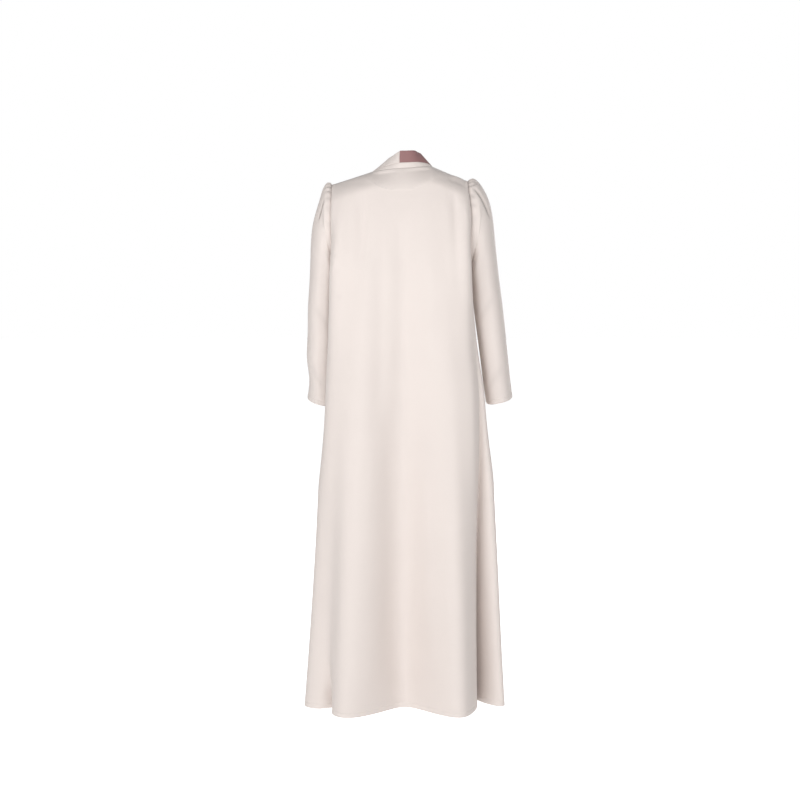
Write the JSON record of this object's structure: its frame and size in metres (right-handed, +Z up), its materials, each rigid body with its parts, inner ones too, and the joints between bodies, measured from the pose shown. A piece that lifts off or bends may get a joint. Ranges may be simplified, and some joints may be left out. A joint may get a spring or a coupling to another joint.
{
  "type": "abaya cloak",
  "caption": "Long open-front abaya cloak as worn, A-line with side folds, long set-in sleeves with gathered caps and a two-tone standing collar band.",
  "frame": {"origin": "middle of the neck base, level with the tops of the shoulders, where the wearer carries the cloak", "axes": "+Z up along the garment's length, +Y out of the back, -Y out of the open front, +X to the wearer's left"},
  "size_m": [0.5599, 0.3581, 1.4747],
  "materials": {
    "cream_crepe": "matte satin-back crepe, cream with a blush tone",
    "mauve_crepe": "matte satin-back crepe, dusty mauve",
    "cream_facing": "the same crepe, wrong side, fused"
  },
  "bodies": {
    "root": {"back": "cream_crepe", "front_left": "cream_crepe", "front_right": "cream_crepe", "sleeve_left": "cream_crepe", "sleeve_right": "cream_crepe", "collar_stand": "cream_crepe", "band_left": "cream_crepe", "band_right": "mauve_crepe", "neck_facing": "cream_facing"}
  },
  "joints": []
}
